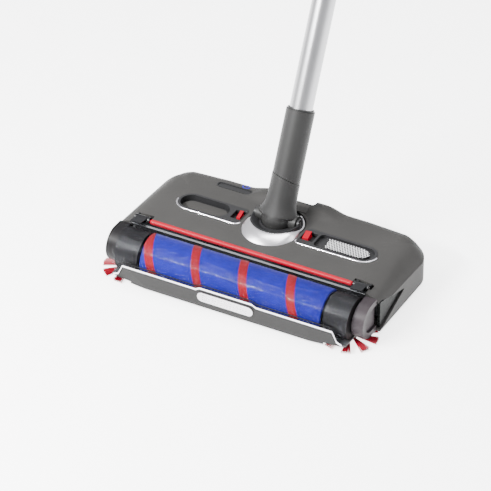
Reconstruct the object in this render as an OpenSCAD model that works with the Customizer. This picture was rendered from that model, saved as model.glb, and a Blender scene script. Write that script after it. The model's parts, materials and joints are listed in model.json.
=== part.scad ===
// Cordless floor sweeper with a soft roller, two side brushes and a swivelling handle.
// Origin: on the floor under the swivel axis. Front is -Y, up is +Z. Millimetres.

/* [Body] */
// Width across the lower flanks
body_w = 362; // [350:1:380]
// Rear face, from the swivel axis
body_rear = 66; // [62:1:72]
// Height of the top face
body_top = 58; // [56:0.5:60]
// Thickness of the housing walls
wall = 2.6; // [2:0.1:3.2]
// Height of the raised rear hump
hump_top = 64.5; // [60:0.5:65]
// Half width of the notch in the hump
notch_hw = 26; // [22:1:30]
// Floor to the underside of the base plate
ground_gap = 6; // [5.5:0.5:7]
// Thickness of the base plate
base_t = 3; // [2.5:0.5:3.5]

/* [Roller] */
// Radius over the plush sleeve
roller_r = 27.4; // [26.5:0.1:27.6]
// Half length of the roller
roller_hl = 123.5; // [118:0.5:124]
// Roller axis, from the swivel axis
roller_y = -96.2; // [-97:0.1:-95.5]
// Height of the roller axis
roller_z = 28.5; // [28.5:0.1:29]
// Rise of the coloured spiral band for one turn
spiral_pitch = 64.5; // [55:0.5:75]
// Width of the spiral band along the roller
spiral_w = 12; // [8:1:16]

/* [Cover] */
// Outside radius of the clear cover
cover_r = 32.3; // [32:0.1:33]
// Thickness of the clear cover
cover_t = 2; // [1.6:0.1:2.2]
// Half width of the clear cover
cover_hw = 158.5; // [157:0.5:159]
// Height of the cover hinge axis
hinge_z = 55.5; // [55:0.5:56]
// Half length of the red seal bar
seal_hl = 135.7; // [130:0.1:136]

/* [Side brushes] */
// Distance of each brush from the middle
brush_x = 150; // [148:1:151]
// Radius to the tips of the tufts
brush_r = 36; // [30:1:37]
// Number of tufts on a brush
tufts = 9; // [6:1:10]

/* [Wheels] */
// Radius of the rear wheels
rear_wheel_r = 11; // [9:0.5:12]
// Radius of the front wheels
front_wheel_r = 7; // [6.5:0.5:7]

/* [Swivel and neck] */
// Outside radius of the hub ring
hub_r = 31.8; // [31:0.1:32]
// Height of the hub ring
hub_top = 65.6; // [64:0.1:66]
// Height of the tilt pin
pivot_z = 64; // [63:0.5:66]
// Tilt pin, behind the swivel axis
pivot_y = 3; // [2:0.5:3]
// Lean of the handle from upright
lean = 25; // [20:1:28]
// Radius of the neck
neck_r = 18.5; // [18:0.1:18.6]
// Neck length up to the seam of the sleeve
neck_len = 50; // [46:1:56]
// Top of the neck sleeve above the pin
sleeve_end = 138; // [125:1:145]

/* [Handle] */
// Radius of the aluminium tube
tube_r = 14.5; // [13:0.5:15]
// Top of the lower tube above the pin
tube_mid = 500; // [450:10:550]
// Top of the upper tube above the pin
tube_top = 890; // [800:10:950]
// Radius of the hanging hole
hang_r = 6; // [4:0.5:7]

/* [Controls] */
// Middle line of the two top inserts
insert_y = -8.5; // [-10:0.5:-7]
// Half width of the inserts
insert_hw = 17; // [15:0.5:18]
// Middle line of the foot switch bar
power_y = 42.5; // [41:0.5:44]
// Length of the latch button
latch_l = 75.6; // [60:0.2:78]
// Height of the latch button
latch_h = 12.4; // [10:0.2:13]
// Height of the middle of the latch button
latch_z = 18.6; // [18:0.1:19]

/* [Hidden] */
$fn = 64;
fit = 0.05;
gap = 0.4;
base_top = ground_gap + base_t;
rear_corner_r = 34;
front_post_r = 4;
cheek_x = 160;
bay_y = -66;
cheek_front = -77;
roller_core_r = 24;
spiral_start = 176;
motor_r = 17;
cover_z = 27;
cover_bore = cover_r - cover_t;
cover_rear = -71.8;
seal_y = -67.8;
seal_z = 55.6;
seal_r = 3.2;
hinge_y = -66.5;
hinge_pin_r = 2;
knuckle_r = 4.2;
knuckle_in = 142.8;
knuckle_out = 157.2;
lip_hw = 143;
tab_hw = 36;
tab_rise = 3;
strip_z = 24.6;
bumper_front = -131.4;
bumper_back = -126.2;
bumper_low = 4.2;
brush_clear_z = 6.6;
brush_clear_r = 38;
brush_shaft_r = 2.5;
brush_motor_r = 8;
cap_y = -91.5;
cap_z = 29.2;
cap_r = 22.4;
cap_out = 175.5;
insert_in = 38.6;
cup_out = -131;
cup_in = -41;
bezel_out = 140;
cup_floor = 50;
power_in = -57;
power_out = -106;
power_hw = 5.5;
bin_in = 78;
bin_wall = 2;
bezel_depth = 8;
collar_front = 15.5;
journal_r = 26;
journal_low = 43.9;
ear_out = 30.6;
ball_r = 20;
yoke_hw = 27;
yoke_r = 9;
yoke_back = 6;
tilt_pin_r = 3;
seat_gap = 0.7;
back_flat = 14;
wheel_pin_r = 2;
socket_x = 90;
socket_z = 24;
socket_bore_r = 2.8;
rear_wheel_x = 125;
rear_wheel_y = 44;
rear_wheel_hw = 7;
front_wheel_hw = 5;
front_wheel_x = 55;
front_wheel_y = -55;
screw_spots = [[-165, 10], [165, 10], [-150, 42], [150, 42], [-20, -48], [20, -48], [-34, 54], [34, 54]];

function arc(cx, cy, r, a0, a1, n) =
    [for (i = [0:n]) let (a = a0 + (a1 - a0) * i / n) [cx + r * cos(a), cy + r * sin(a)]];

// Extrudes a (y, z) outline along X between x0 and x1
module along_x(x0, x1) {
    translate([x0, 0, 0]) rotate([90, 0, 90]) linear_extrude(x1 - x0) children();
}

module rod_x(x0, x1, y, z, r) {
    translate([x0, y, z]) rotate([0, 90, 0]) cylinder(r = r, h = x1 - x0);
}

module both_sides() {
    children();
    mirror([1, 0, 0]) children();
}

// Bar with round ends in plan, between x0 and x1
module stadium(x0, x1, y, hw, z0, z1) {
    translate([x0 + hw, y - hw, z0]) cube([x1 - x0 - 2 * hw, 2 * hw, z1 - z0]);
    for (x = [x0 + hw, x1 - hw]) translate([x, y, z0]) cylinder(r = hw, h = z1 - z0);
}

// Insert outline: one full round end and one square end with small corners
module insert_form(x_round, x_square, hw, z0, z1) {
    s = sign(x_square - x_round);
    corner = 6;
    xs = x_square - s * corner;
    xr = x_round + s * hw;
    h = z1 - z0;
    translate([xr, insert_y, z0]) cylinder(r = hw, h = h);
    translate([min(xr, xs), insert_y - hw, z0]) cube([abs(xs - xr), 2 * hw, h]);
    translate([min(xs, x_square), insert_y - hw + corner, z0]) cube([corner, 2 * (hw - corner), h]);
    for (y = [insert_y - hw + corner, insert_y + hw - corner]) translate([xs, y, z0])
        cylinder(r = corner, h = h);
}

// ---------- housing ----------

// Outer form of the housing, or its hollow when inset is the wall thickness
module housing_form(inset) {
    low = inset > 0 ? 0 : ground_gap;
    hull() both_sides() {
        translate([body_w / 2 - rear_corner_r, body_rear - rear_corner_r, low])
            cylinder(r = rear_corner_r - inset, h = 37 - low - inset, $fn = 48);
        translate([body_w / 2 - front_post_r, cheek_front + front_post_r, low])
            cylinder(r = front_post_r - inset, h = 42 - low - inset, $fn = 24);
        translate([170 - front_post_r, cheek_front + front_post_r, low])
            cylinder(r = front_post_r - inset, h = 51.5 - low - inset, $fn = 24);
        translate([158, -60, low]) cylinder(r = 8 - inset, h = 56.6 - low - inset, $fn = 24);
        translate([150, 0, low]) cylinder(r = 8 - inset, h = 57.2 - low - inset, $fn = 24);
        translate([128, 49, low]) cylinder(r = 9 - inset, h = 53.5 - low - inset, $fn = 24);
        translate([96, 53, low]) cylinder(r = 8 - inset, h = 56.6 - low - inset, $fn = 24);
        translate([100, -60, low]) cylinder(r = 8 - inset, h = body_top - low - inset, $fn = 24);
        translate([100, 34, low]) cylinder(r = 8 - inset, h = body_top - low - inset, $fn = 24);
    }
}

module hump_form() {
    hull() both_sides() {
        translate([36, 50, 50]) cylinder(r = 6, h = hump_top - 50, $fn = 24);
        translate([36, 59, 50]) cylinder(r = 6, h = hump_top - 51, $fn = 24);
        translate([63, 57, 30]) cylinder(r = 6, h = 26, $fn = 24);
        translate([60, 34, 30]) cylinder(r = 6, h = 27, $fn = 24);
    }
}

// Outline (y, z) of the bin opening in the flank
function bin_outline(g) =
    [[-74 + g, 9.6 + 1.6 * g], [-74 + g, 46 - 1.4 * g], [-17 - g, 31.8 - g], [-14.5 - g, 30.3],
        [-17 - g, 29.2 + g]];

module top_housing() color("dimgray") difference() {
    union() {
        difference() {
            union() {
                housing_form(0);
                hump_form();
            }
            housing_form(wall);
        }
        translate([-notch_hw - wall, 44, 47.5]) cube([2 * (notch_hw + wall), 22, 11]);
        intersection() {
            for (p = screw_spots) translate([p[0], p[1], base_top + 0.2]) cylinder(r = 4, h = 60);
            housing_form(0.5);
        }
    }
    // Notch for the leaned-back neck
    translate([-notch_hw, 47, 50.2]) cube([2 * notch_hw, 40, 30]);
    translate([-notch_hw - 4, 34, body_top]) cube([2 * notch_hw + 8, 14, 20]);
    // Bay of the roller, with room for the hood
    translate([-cheek_x, -100, -1]) cube([2 * cheek_x, 100 + bay_y, 80]);
    rod_x(-cheek_x, cheek_x, roller_y, roller_z, 33.6);
    both_sides() translate([137.5, bay_y - 1, 48]) cube([25, 8.8, 30]);
    // Flank openings of the dust bins
    both_sides() along_x(140, 190) polygon(bin_outline(0));
    // Hub, inserts, foot switch and charging socket
    translate([0, 0, 40]) cylinder(r = 36.2, h = 30);
    insert_form(cup_out, cup_in, insert_hw, 40, 70);
    insert_form(bezel_out, insert_in, insert_hw, 40, 70);
    stadium(power_out, power_in, power_y, power_hw, 40, 70);
    translate([socket_x, 50, socket_z]) rotate([-90, 0, 0]) cylinder(r = 7, h = 30);
    for (p = screw_spots) translate([p[0], p[1], base_top - 1]) cylinder(r = 1.5, h = 20);
}

module plate_form() {
    translate([-144, -69, ground_gap]) cube([288, body_rear - wall - 0.4 + 69, base_t]);
    translate([-177.6, bay_y + 3, ground_gap]) cube([355.2, 93, base_t]);
    both_sides() {
        translate([177.6 - 33, 30, ground_gap]) cylinder(r = 33, h = base_t);
        translate([127, bumper_back + 0.3, ground_gap]) cube([cheek_x - 127.5, 66, base_t]);
    }
    translate([-140, bumper_back + 0.3, ground_gap]) cube([280, 2.2, base_t]);
}

module base_plate() color("darkslategray") difference() {
    union() {
        plate_form();
        difference() {
            translate([0, 0, base_top]) cylinder(r = 37, h = 35);
            cylinder(r = 32.4, h = 60);
        }
        // Saddles of the wheel pins
        both_sides() {
            translate([rear_wheel_x - 12, rear_wheel_y - 5, ground_gap]) cube([24, 10, 10]);
            translate([front_wheel_x - 10, front_wheel_y - 5, 3.6]) cube([20, 10, 7]);
        }
    }
    both_sides() {
        rod_x(rear_wheel_x - 11, rear_wheel_x + 11, rear_wheel_y, rear_wheel_r, wheel_pin_r + fit);
        rod_x(front_wheel_x - 9, front_wheel_x + 9, front_wheel_y, front_wheel_r, wheel_pin_r + fit);
    }
    both_sides() {
        translate([brush_x, roller_y, 0]) cylinder(r = 4, h = 20);
        translate([brush_x, roller_y, 0]) cylinder(r = brush_clear_r, h = brush_clear_z);
        translate([rear_wheel_x - 8, rear_wheel_y - 12.5, 0]) cube([16, 25, 30]);
        translate([front_wheel_x - 6, front_wheel_y - 8, 0]) cube([12, 16, 20]);
    }
    for (p = screw_spots) translate([p[0], p[1], 0]) {
        cylinder(r = 1.6, h = 20);
        cylinder(r = 3.3, h = ground_gap + 1.6);
    }
}

// Curved inner wall behind and over the roller, with the two mouths into the bins
module brush_hood() color([0.12, 0.10, 0.11]) difference() {
    along_x(-cheek_x + 0.6, cheek_x - 0.6) polygon(concat(
        arc(roller_y, roller_z, 33.2, -34, 52, 22), arc(roller_y, roller_z, 31, 52, -34, 22)));
    both_sides() translate([bin_in + 4, -80, 16.5]) cube([36, 30, 18]);
    both_sides() translate([137.5, -73, 47]) cube([25, 10, 20]);
}

// ---------- front bumper, trim and end caps ----------

// Top edge of the bumper in front view, lowered by drop
function bumper_edge(drop) = [
    [-156, 9 - drop], [-149, 12 - drop], [-lip_hw, strip_z - drop], [-tab_hw - 5, strip_z - drop],
    [-tab_hw, strip_z + tab_rise - drop], [tab_hw, strip_z + tab_rise - drop],
    [tab_hw + 5, strip_z - drop], [lip_hw, strip_z - drop], [149, 12 - drop], [156, 9 - drop]];

module front_view(y0, y1) {
    translate([0, y1, 0]) rotate([90, 0, 0]) linear_extrude(y1 - y0) children();
}

module latch_form(grow, y0, y1) {
    hw = latch_h / 2 + grow;
    front_view(y0, y1) union() {
        translate([-latch_l / 2 + latch_h / 2, latch_z - hw]) square([latch_l - latch_h, 2 * hw]);
        for (s = [-1, 1]) translate([s * (latch_l - latch_h) / 2, latch_z]) circle(r = hw);
    }
}

module front_bumper() color("dimgray") difference() {
    intersection() {
        front_view(bumper_front - 2, bumper_back)
            polygon(concat([[156, bumper_low], [-156, bumper_low]], bumper_edge(0.2)));
        hull() {
            translate([-112, bumper_front, bumper_low]) cube([224, 5, 4]);
            translate([-150, bumper_front + 4.4, bumper_low]) cube([300, 0.8, 30]);
            translate([-112, bumper_front + 2.4, bumper_low + 20]) cube([224, 2.8, 10]);
            translate([-156, bumper_back - 0.6, bumper_low]) cube([312, 0.6, 30]);
        }
    }
    latch_form(gap, bumper_front - 5, bumper_back - 1.2);
    both_sides() translate([brush_x, roller_y, -1]) cylinder(r = brush_clear_r, h = brush_clear_z + 1);
}

module chrome_strip() color("silver") front_view(bumper_front + 1.8, bumper_back - 0.6)
    polygon(concat(bumper_edge(0), [for (i = [9:-1:0]) bumper_edge(-2.4)[i]]));

module seal_bar() color([0.86, 0.10, 0.20]) difference() {
    union() {
        rod_x(-seal_hl, seal_hl, seal_y, seal_z, seal_r);
        for (s = [-1, 1]) translate([s * seal_hl, seal_y, seal_z]) sphere(r = seal_r);
    }
    translate([-200, -80, 40]) cube([400, 30, 13.4]);
    translate([-200, bay_y - 0.1, 40]) cube([400, 30, 40]);
}

module end_cap() difference() {
    union() {
        rod_x(cheek_x + 0.5, cap_out, cap_y, cap_z, cap_r);
        translate([cheek_x + 0.5, cap_y, cap_z - cap_r])
            cube([cap_out - cheek_x - 0.5, -77.6 - cap_y, 2 * cap_r]);
    }
    rod_x(cap_out - 3, 190, cap_y, cap_z, 15);
    translate([cap_out - 3, cap_y, cap_z - 15]) cube([20, 20, 30]);
    rod_x(150, cap_out - 6, cap_y, cap_z, cap_r - 3);
    translate([150, cap_y, cap_z - cap_r + 3]) cube([cap_out - 156, 10, 2 * cap_r - 6]);
    translate([150, cheek_front - 0.5, 0]) cube([50, 40, 80]);
}
module end_cap_left() color([0.27, 0.24, 0.27]) mirror([1, 0, 0]) end_cap();
module end_cap_right() color([0.27, 0.24, 0.27]) end_cap();

// ---------- roller and its drive ----------

// Block beside the roller that carries a side brush motor
module end_block() difference() {
    union() {
        rod_x(127, 158, roller_y, roller_z, 26.5);
        translate([127, roller_y - 18, base_top + 0.1]) cube([31, 40, 14]);
    }
    translate([brush_x, roller_y, 0]) cylinder(r = brush_motor_r + 0.1, h = 36);
    translate([120, roller_y - 40, 0]) cube([50, 80, base_top + 0.1]);
}

module bearing_block_left() color([0.05, 0.05, 0.06]) mirror([1, 0, 0]) difference() {
    end_block();
    rod_x(120, 138, roller_y, roller_z, 4.02);
}

module motor_block_right() color([0.05, 0.05, 0.06]) difference() {
    union() {
        end_block();
        rod_x(120.5, 128, roller_y, roller_z, 19);
    }
    rod_x(119, 141, roller_y, roller_z, motor_r);
}

// Hollow core with its left hub and, behind the motor, the driven disc and shaft
module roller_core() color("gainsboro") {
    difference() {
        rod_x(-roller_hl, roller_hl, roller_y, roller_z, roller_core_r);
        rod_x(-roller_hl + 12, roller_hl + 1, roller_y, roller_z, 21.6);
        rod_x(-roller_hl - 1, -roller_hl + 14, roller_y, roller_z, 4 + fit);
        rod_x(roller_hl - 8, roller_hl + 1, roller_y, roller_z, 22.46);
    }
    rod_x(22, 28, roller_y, roller_z, 21.8);
    rod_x(28, 46, roller_y, roller_z, 3);
}

module roller_sleeve() color([0.16, 0.16, 0.62]) difference() {
    rod_x(-roller_hl + 0.5, roller_hl - 0.5, roller_y, roller_z, roller_r);
    rod_x(-roller_hl - 1, roller_hl + 1, roller_y, roller_z, roller_core_r + 0.02);
}

module roller_spiral() color([0.66, 0.10, 0.14]) {
    half = 180 * spiral_w / spiral_pitch;
    length = 2 * roller_hl - 1;
    translate([-length / 2, roller_y, roller_z]) rotate([0, 90, 0])
        linear_extrude(length, twist = -360 * length / spiral_pitch, slices = 96, $fn = 12)
            rotate(spiral_start) polygon(concat(
                arc(0, 0, roller_r + 0.75, -half, half, 5), arc(0, 0, roller_r + 0.25, half, -half, 5)));
}

module roller_stub_axle() color("silver")
    rod_x(-138, -roller_hl + 8, roller_y, roller_z, 4);

module drive_motor() color("silver") difference() {
    union() {
        rod_x(48, 140.5, roller_y, roller_z, motor_r - fit);
        rod_x(40, 48, roller_y, roller_z, 8);
    }
    rod_x(39, 60, roller_y, roller_z, 3 + fit);
}

module roller_bearing() color("silver") difference() {
    rod_x(roller_hl - 2.6, roller_hl + 3, roller_y, roller_z, 22.4);
    rod_x(100, 140, roller_y, roller_z, 19 + fit);
}

// ---------- clear cover ----------

module cover_shell() {
    difference() {
        along_x(-cover_hw, cover_hw) polygon(concat(
            [[cover_rear, cover_z + cover_r - 1.1], [cover_rear - 6, cover_z + cover_r - 0.4]],
            arc(roller_y, cover_z, cover_r, 90, 178, 22),
            arc(roller_y, cover_z, cover_bore, 178, 90, 22),
            [[cover_rear - 6, cover_z + cover_bore - 0.4], [cover_rear, cover_z + cover_bore - 1.1]]));
        front_view(-140, -120) polygon([[-tab_hw - 5.6, 0], [-tab_hw - 5.6, 27.5], [-tab_hw - 0.6, 30.5],
            [tab_hw + 0.6, 30.5], [tab_hw + 5.6, 27.5], [tab_hw + 5.6, 0]]);
    }
    both_sides() along_x(lip_hw + 8, cover_hw) polygon(concat(
        arc(roller_y, cover_z, cover_r, 176, 212, 10), arc(roller_y, cover_z, cover_bore, 212, 176, 10)));
}

module clear_cover() color([0.6, 0.62, 0.65, 0.4]) {
    cover_shell();
    // Front lip, stepped up in the middle
    front_view(-130.6, -127.9)
        polygon([[-lip_hw, 27.6], [-tab_hw - 5, 27.6], [-tab_hw, 27.6 + tab_rise],
            [tab_hw, 27.6 + tab_rise],
            [tab_hw + 5, 27.6], [lip_hw, 27.6], [lip_hw, 31.5], [tab_hw + 5, 31.5],
            [tab_hw, 31.5 + tab_rise], [-tab_hw, 31.5 + tab_rise], [-tab_hw - 5, 31.5], [-lip_hw, 31.5]]);
}

module cover_knuckles() color([0.06, 0.06, 0.07]) both_sides() difference() {
    union() {
        rod_x(knuckle_in, knuckle_out, hinge_y, hinge_z, knuckle_r);
        along_x(knuckle_in, knuckle_out) polygon([[hinge_y - 1, hinge_z + 4], [-84, 61.6], [-84, 59.4],
            [-77.8, 59.4], [cover_rear, 58.4], [hinge_y - 3, hinge_z]]);
    }
    rod_x(130, 170, hinge_y, hinge_z, hinge_pin_r + fit);
}

module cover_hinge_brackets() color([0.06, 0.06, 0.07]) both_sides() difference() {
    for (x = [[knuckle_in - 3.4, knuckle_in - gap], [knuckle_out + gap, cheek_x - 0.2]]) {
        rod_x(x[0], x[1], hinge_y, hinge_z, knuckle_r);
        along_x(x[0], x[1]) polygon([
            [hinge_y - 2.8, 50], [hinge_y - 4.2, hinge_z], [-58.4, hinge_z + 1.6], [-58.4, 50]]);
    }
    rod_x(130, 170, hinge_y, hinge_z, hinge_pin_r);
}

module hinge_pins() color("silver") both_sides()
    rod_x(knuckle_in - 3.4, cheek_x - 0.2, hinge_y, hinge_z, hinge_pin_r - 0.01);

module cover_latch_button() color("silver") difference() {
    latch_form(0, bumper_front - 0.5, bumper_front + 2.1);
    for (i = [-1, 0, 1]) front_view(bumper_front - 3, bumper_front + 0.1)
        translate([-latch_l / 2 + 7, latch_z + i * 3 - 0.5]) square([latch_l - 14, 1]);
}

// ---------- side brushes ----------

module side_brush() translate([brush_x, roller_y, 0]) {
    translate([0, 0, 2.4]) cylinder(r = 9, h = 3.4);
    cylinder_from(5.8, 30, brush_shaft_r);
}
module cylinder_from(z0, z1, r) {
    translate([0, 0, z0]) cylinder(r = r, h = z1 - z0);
}
module side_brush_left() color([0.10, 0.10, 0.11]) mirror([1, 0, 0]) side_brush();
module side_brush_right() color([0.10, 0.10, 0.11]) side_brush();

// Ring of bristle tufts, each a flat wedge that spreads towards its tip
module tuft_ring(phase) translate([brush_x, roller_y, 0]) difference() {
    for (i = [0:tufts - 1]) rotate([0, 0, phase + i * 360 / tufts]) translate([0, 0, 0.8])
        linear_extrude(4.6) polygon([
            [8, -1.5], [8, 1.5], [brush_r - 2, 6], [brush_r, 3], [brush_r, -3], [brush_r - 2, -6]]);
    cylinder(r = 9.05, h = 20);
    // Tufts are pushed back where they meet the end of the roller
    translate([-50, -18, 0]) cube([50 - brush_x + roller_hl + 1.4, 36, 10]);
}
module tufts_left() color([0.78, 0.13, 0.22]) mirror([1, 0, 0]) tuft_ring(-11);
module tufts_right() color([0.78, 0.13, 0.22]) tuft_ring(9);

module brush_motors() color("silver") both_sides() difference() {
    translate([brush_x, roller_y, base_top + 1]) cylinder(r = brush_motor_r, h = 25.5);
    translate([brush_x, roller_y, 0]) cylinder(r = brush_shaft_r + fit, h = 31);
}

// ---------- dust bins ----------

module dust_bin() difference() {
    along_x(bin_in, 174.6) polygon([[-61, 15], [-61, 41.5], [-22, 31.8], [-22, 29.5]]);
    along_x(bin_in + bin_wall, 172.6) polygon([[-59, 17.9], [-59, 38.9], [-26.5, 30.8], [-26.5, 30]]);
    // Mouth towards the roller
    translate([bin_in + 5, -66, 17.9]) cube([34, 12, 15.6]);
}
module dust_bin_left() color([0.2, 0.21, 0.22]) mirror([1, 0, 0]) dust_bin();
module dust_bin_right() color([0.2, 0.21, 0.22]) dust_bin();

// Smoked outer face of a bin, set a little below the flank
module bin_window() along_x(174.7, 178.2) polygon(bin_outline(gap));
module bin_window_left() color([0.16, 0.18, 0.17, 0.8]) mirror([1, 0, 0]) bin_window();
module bin_window_right() color([0.16, 0.18, 0.17, 0.8]) bin_window();

// ---------- top inserts and controls ----------

module finger_cup() color([0.13, 0.13, 0.14]) difference() {
    insert_form(cup_out + 0.1, cup_in - 0.1, insert_hw - 0.1, cup_floor - wall, body_top + 0.6);
    // Deep finger hollow
    stadium(cup_out + 3, -62, insert_y, insert_hw - 3, cup_floor, 70);
    // Shallow track of the release slider
    translate([-56, insert_y - 8, 53]) cube([14, 18, 20]);
}

module vent_bezel() color([0.13, 0.13, 0.14]) difference() {
    insert_form(bezel_out - 0.1, insert_in + 0.1, insert_hw - 0.1, body_top - bezel_depth, body_top + 0.6);
    translate([insert_in + 1.5, insert_y - 8, 53]) cube([17, 18, 20]);
    stadium(72, bezel_out - 4, insert_y, insert_hw - 5, body_top - 2, 70);
    stadium(76, bezel_out - 8, insert_y, insert_hw - 8, 30, 70);
}

module vent_mesh() color("silver") difference() {
    stadium(72.2, bezel_out - 4.2, insert_y, insert_hw - 5.2, body_top - 1.8, body_top);
    for (i = [0:11], j = [-1:1]) translate([80 + i * 4.2 + (j + 1) % 2 * 2.1, insert_y + j * 4.2, 50])
        cylinder(r = 1.3, h = 20, $fn = 16);
}

module insert_rims() color("silver") {
    difference() {
        union() {
            insert_form(cup_out - 1.6, cup_in + 1.6, insert_hw + 1.6, body_top - 0.8, body_top + 1);
            insert_form(bezel_out + 1.6, insert_in - 1.6, insert_hw + 1.6, body_top - 0.8, body_top + 1);
        }
        insert_form(cup_out, cup_in, insert_hw, 40, 70);
        insert_form(bezel_out, insert_in, insert_hw, 40, 70);
        translate([-200, insert_y - 6, 40]) cube([400, 60, 40]);
        translate([-200, -100, 40]) cube([400, 200, 18]);
    }
}

module release_slider(w) {
    translate([-w / 2, insert_y - 5.5, 53.2]) cube([w, 13, 3]);
    translate([0, insert_y + 1, 56.2]) rotate([0, 0, 10]) translate([-w / 2, -8, 0]) cube([w, 16, 4]);
}
module release_slider_left() color([0.88, 0.13, 0.26]) translate([-46.6, 0, 0]) release_slider(4.5);
module release_slider_right() color([0.88, 0.13, 0.26]) translate([45.6, 0, 0]) release_slider(7.5);

module power_bezel() color([0.13, 0.13, 0.14]) difference() {
    stadium(power_out + 0.1, power_in - 0.1, power_y, power_hw - 0.1, body_top - 9, body_top + 0.5);
    stadium(power_out + 1.6, power_in - 1.6, power_y, power_hw - 1.6, body_top - 20, 80);
}

module power_button() color([0.2, 0.2, 0.21]) {
    stadium(power_out + 2, power_in - 2, power_y, power_hw - 2, body_top - 6.5, body_top - 0.6);
    translate([-81.5, power_y, body_top - 10.4]) cylinder(r = 1.6, h = 4);
}

// Ring and bar of a power symbol, printed on the top face
module power_light() color([0.28, 0.2, 0.75]) translate([-70.7, 53, 57.25]) rotate([-4.2, 0, 0]) {
    ring_light = 0.4;
    difference() {
        cylinder(r = 5, h = ring_light);
        translate([0, 0, -1]) cylinder(r = 3.8, h = 4);
        translate([-1.6, 0, -1]) cube([3.2, 8, 4]);
    }
    translate([-0.6, 0, 0]) cube([1.2, 6, ring_light]);
}

module power_switch() color("black") difference() {
    translate([-90, power_y - 6, 37.2]) cube([17, 12, 10.3]);
    translate([-81.5, power_y, 45]) cylinder(r = 2, h = 6);
}

// ---------- inside the body ----------

module battery_pack() color("steelblue") translate([-108, 12, base_top + 0.1]) cube([64, 40, 28]);

module circuit_board() color("darkgreen") {
    translate([44, 14, base_top + 3]) cube([44, 36, 1.6]);
    board_posts() translate([0, 0, base_top]) cylinder(r = 2, h = 3);
    translate([50, 20, base_top + 4.6]) cube([12, 12, 4]);
    translate([70, 36, base_top + 4.6]) cylinder(r = 5, h = 12);
}
module board_posts() {
    for (x = [48, 84], y = [18, 46]) translate([x, y, 0]) children();
}

module charging_socket() color("black") difference() {
    translate([socket_x, body_rear - wall - 9, socket_z]) rotate([-90, 0, 0]) cylinder(r = 6.9, h = 11);
    translate([socket_x, body_rear - wall - 7, socket_z]) rotate([-90, 0, 0])
        cylinder(r = socket_bore_r, h = 20);
}

module screws() color("silver") for (p = screw_spots) translate([p[0], p[1], ground_gap]) {
    cylinder(r = 3, h = 1.5);
    cylinder(r = 1.48, h = 16);
}

// ---------- wheels ----------

// Wheel with its tread groove and moulded pins
module wheel(x, y, r, hw) {
    difference() {
        rod_x(x - hw, x + hw, y, r, r);
        difference() {
            rod_x(x - 1, x + 1, y, r, r + 1);
            rod_x(x - 2, x + 2, y, r, r - 0.8);
        }
    }
    rod_x(x - hw - 2.6, x + hw + 2.6, y, r, wheel_pin_r);
}
module rear_wheel() color([0.12, 0.12, 0.12])
    wheel(rear_wheel_x, rear_wheel_y, rear_wheel_r, rear_wheel_hw);
module front_wheel() color([0.2, 0.2, 0.2])
    wheel(front_wheel_x, front_wheel_y, front_wheel_r, front_wheel_hw);
module rear_wheel_left() mirror([1, 0, 0]) rear_wheel();
module rear_wheel_right() rear_wheel();
module front_wheel_left() mirror([1, 0, 0]) front_wheel();
module front_wheel_right() front_wheel();

// ---------- swivel ----------

// Silver collar: deep in front, running out towards the back
module hub_collar() color("silver") difference() {
    hull() {
        translate([0, 0, hub_top - 0.6]) cylinder(r = hub_r + 1.4, h = 0.4, $fn = 64);
        translate([0, -collar_front, body_top - 0.4]) cylinder(r = 36, h = 0.5, $fn = 64);
        translate([0, 0, 54.8]) cylinder(r = 36, h = body_top - 54.8, $fn = 64);
    }
    cylinder_from(40, 80, hub_r + 0.3);
    // The back is low, so the neck can lean over it
    translate([0, -18, hub_top]) rotate([-15, 0, 0]) translate([-60, 0, 0]) cube([120, 80, 40]);
    translate([-60, 4, body_top + 0.6]) cube([120, 60, 20]);
    difference() {
        cylinder_from(40, body_top, 60);
        cylinder_from(30, 70, 36);
    }
}

module hub_bearing() color([0.17, 0.17, 0.18]) ring(35.8, journal_r + fit, base_top + 35.2, 54.6);

// Swivel ring with its funnel, trunnion ears and an open back
module turret() color([0.14, 0.14, 0.15]) difference() {
    union() {
        cylinder_from(journal_low, 57, journal_r);
        difference() {
            cylinder_from(55, hub_top, hub_r);
            translate([0, 0, 60]) cylinder(r1 = 21.4, r2 = hub_r - 1, h = hub_top - 60 + 0.01);
        }
        both_sides() rod_x(yoke_hw + 0.5, ear_out, pivot_y, pivot_z, 6);
    }
    translate([0, pivot_y, pivot_z]) sphere(r = ball_r + seat_gap);
    rod_x(-yoke_hw - gap, yoke_hw + gap, pivot_y, pivot_z, yoke_r + 0.6);
    translate([-yoke_hw - gap, pivot_y - yoke_r - 0.6, pivot_z])
        cube([2 * (yoke_hw + gap), 2 * yoke_r + 1.2, 40]);
    translate([-ball_r - gap, pivot_y + 8, 55]) cube([2 * (ball_r + gap), 60, 30]);
    translate([-yoke_hw - gap, pivot_y, 59.5]) cube([2 * (yoke_hw + gap), 60, 30]);
    rod_x(-40, 40, pivot_y, pivot_z, tilt_pin_r + 0.01);
}

module turret_clip() color("silver") ring(30, 12, journal_low - 3.4, journal_low - 0.1);

module tilt_pin() color("silver") both_sides() rod_x(21, ear_out, pivot_y, pivot_z, tilt_pin_r);

// ---------- neck and handle, drawn upright about the tilt pin ----------

module leaned() {
    translate([0, pivot_y, pivot_z]) rotate([-lean, 0, 0]) children();
}
module ring(r_out, r_in, z0, z1) difference() {
    cylinder_from(z0, z1, r_out);
    cylinder_from(z0 - 1, z1 + 1, r_in);
}

// Everything above the slanted seam between neck and sleeve
module above_seam(offset_up) {
    translate([0, 0, neck_len + offset_up]) rotate([-8, 14, 0]) translate([-50, -50, 0])
        cube([100, 100, 300]);
}

// Wings that spread the neck out to the trunnions
module yoke() {
    rod_x(-yoke_hw, yoke_hw, 0, 0, yoke_r);
    translate([0, yoke_back, 0]) rotate([90, 0, 0]) linear_extrude(yoke_back + yoke_r)
        polygon([[-yoke_hw, 0], [yoke_hw, 0], [yoke_hw - 2, 8], [22, 18], [19.5, 30], [neck_r - 1, 42],
            [1 - neck_r, 42], [-19.5, 30], [-22, 18], [2 - yoke_hw, 8]]);
}

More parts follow.
